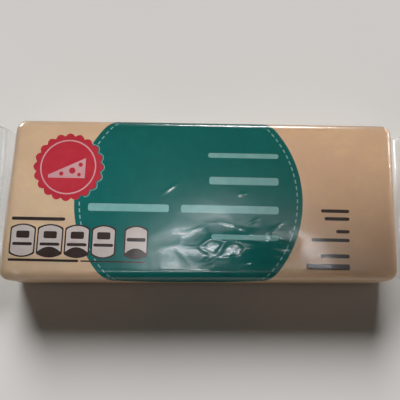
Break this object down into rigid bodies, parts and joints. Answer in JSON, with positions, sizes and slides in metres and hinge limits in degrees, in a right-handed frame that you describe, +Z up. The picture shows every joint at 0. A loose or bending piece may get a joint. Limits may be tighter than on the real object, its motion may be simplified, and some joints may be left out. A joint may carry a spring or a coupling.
{
  "type": "film-wrapped cheddar bar",
  "caption": "Bar of white cheddar sealed in tight clear film, with a printed teal disc on its front face and crimped film fins at both short ends.",
  "frame": {"origin": "centre of the bottom of the bounding box, on the surface that the pack lies on", "axes": "+X along the bar, towards the end that is on the right of the front print; +Y across the bar, towards the top of the front print; +Z up, out of the front face"},
  "size_m": [0.172, 0.0628, 0.0253],
  "materials": {
    "wrapped_cheese": "cream cheddar under clear glossy film"
  },
  "bodies": {
    "root": {"cheddar_pack": "wrapped_cheese"}
  },
  "joints": []
}
